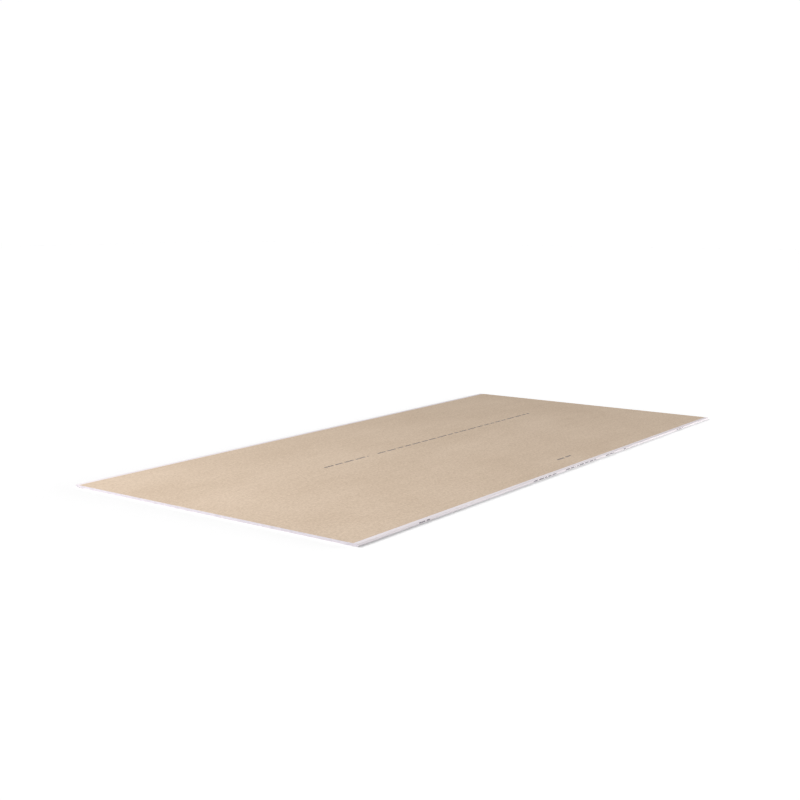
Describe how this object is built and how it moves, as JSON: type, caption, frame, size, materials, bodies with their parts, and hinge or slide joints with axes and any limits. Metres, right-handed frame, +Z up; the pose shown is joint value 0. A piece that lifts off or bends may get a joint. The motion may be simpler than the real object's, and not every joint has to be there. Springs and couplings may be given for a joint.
{
  "type": "drywall sheet",
  "caption": "Flat rectangular drywall sheet with a gypsum core, a tan back paper and a pale face paper wrapped round the tapered long edges, for lining walls and ceilings.",
  "frame": {"origin": "middle of the flat face, on the surface that the sheet lies on", "axes": "+X along the length between the cut ends, +Y across the width between the wrapped edges, +Z up through the thickness from face to back"},
  "size_m": [2.5, 1.2, 0.0095],
  "materials": {
    "gypsum": "matt sawn plaster with fine air holes",
    "face_paper": "smooth matt pale paper",
    "back_paper": "matt recycled tan paper with fine fibres"
  },
  "bodies": {
    "root": {"gypsum_core": "gypsum", "face_paper": "face_paper", "back_paper": "back_paper"}
  },
  "joints": []
}
